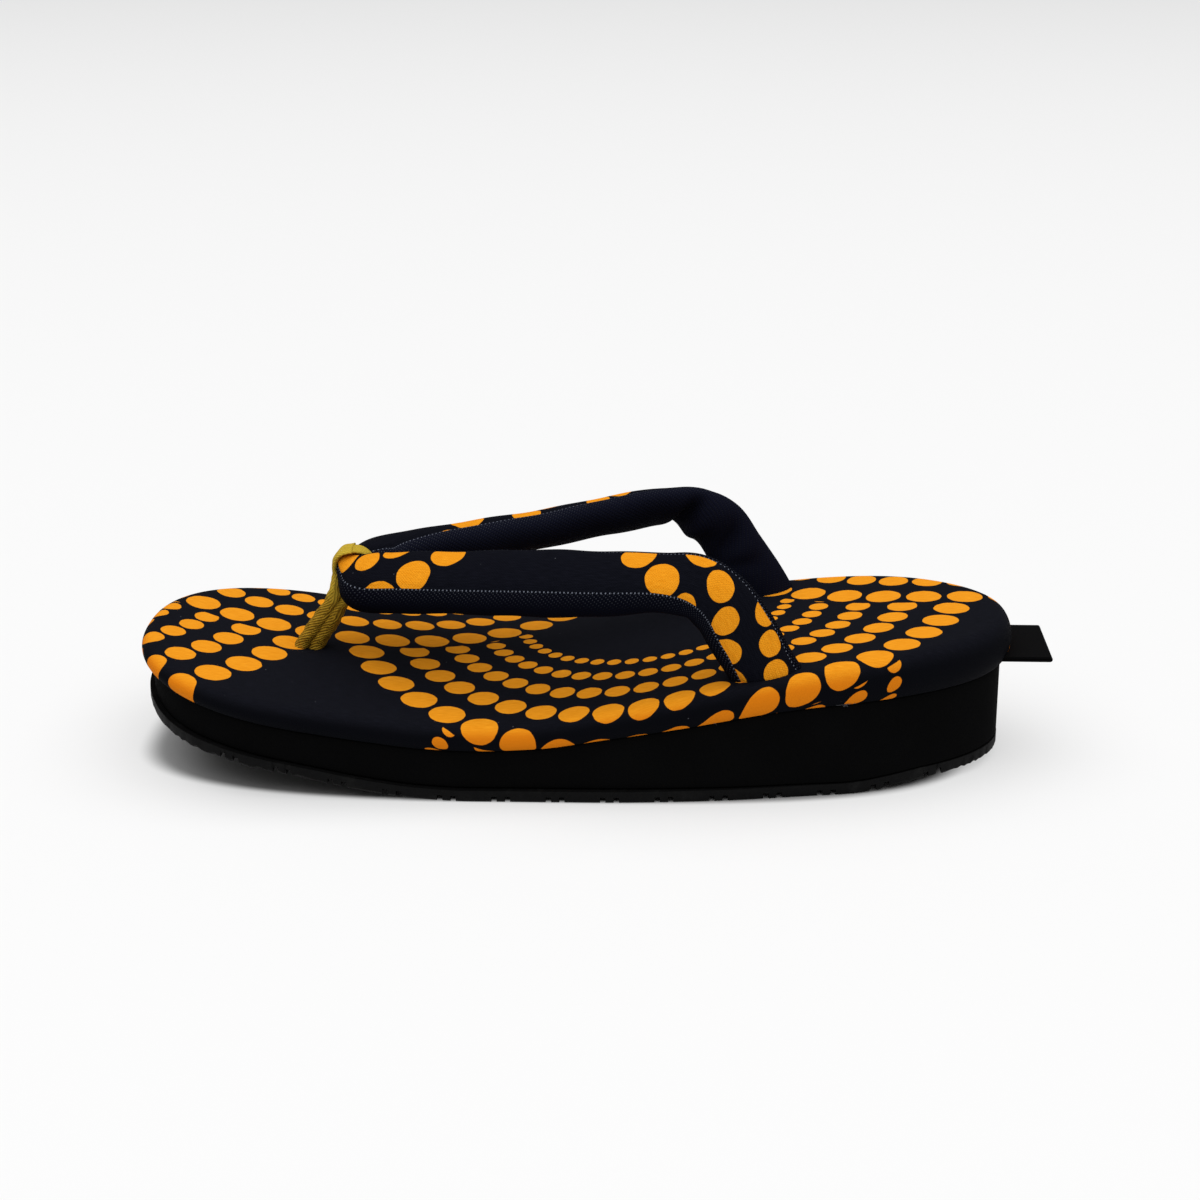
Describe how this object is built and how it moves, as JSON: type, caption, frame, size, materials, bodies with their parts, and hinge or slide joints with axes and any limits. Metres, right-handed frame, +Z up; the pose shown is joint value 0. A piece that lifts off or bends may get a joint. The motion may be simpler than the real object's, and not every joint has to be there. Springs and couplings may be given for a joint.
{
  "type": "setta sandal",
  "caption": "Flat sandal with a padded cloth footbed on a black foam wedge, a padded V-strap held by a toe thong, and a grooved rubber outsole.",
  "frame": {"origin": "on the ground, in the middle of the sandal's own box", "axes": "+X from toe to heel along the sandal, +Y across it, +Z up from the ground"},
  "size_m": [0.2606, 0.1, 0.0681],
  "materials": {
    "outsole_rubber": "matte charcoal rubber",
    "midsole_foam": "matte black foam",
    "printed_cotton": "dark navy cotton with a traditional dot print",
    "strap_cloth": "printed cotton and dark denim twill",
    "thong_cloth": "mustard ribbed cloth",
    "tag_ribbon": "black woven ribbon"
  },
  "bodies": {
    "root": {"outsole": "outsole_rubber", "midsole": "midsole_foam", "footbed": "printed_cotton", "strap": "strap_cloth", "toe_thong": "thong_cloth", "heel_tag": "tag_ribbon"}
  },
  "joints": []
}
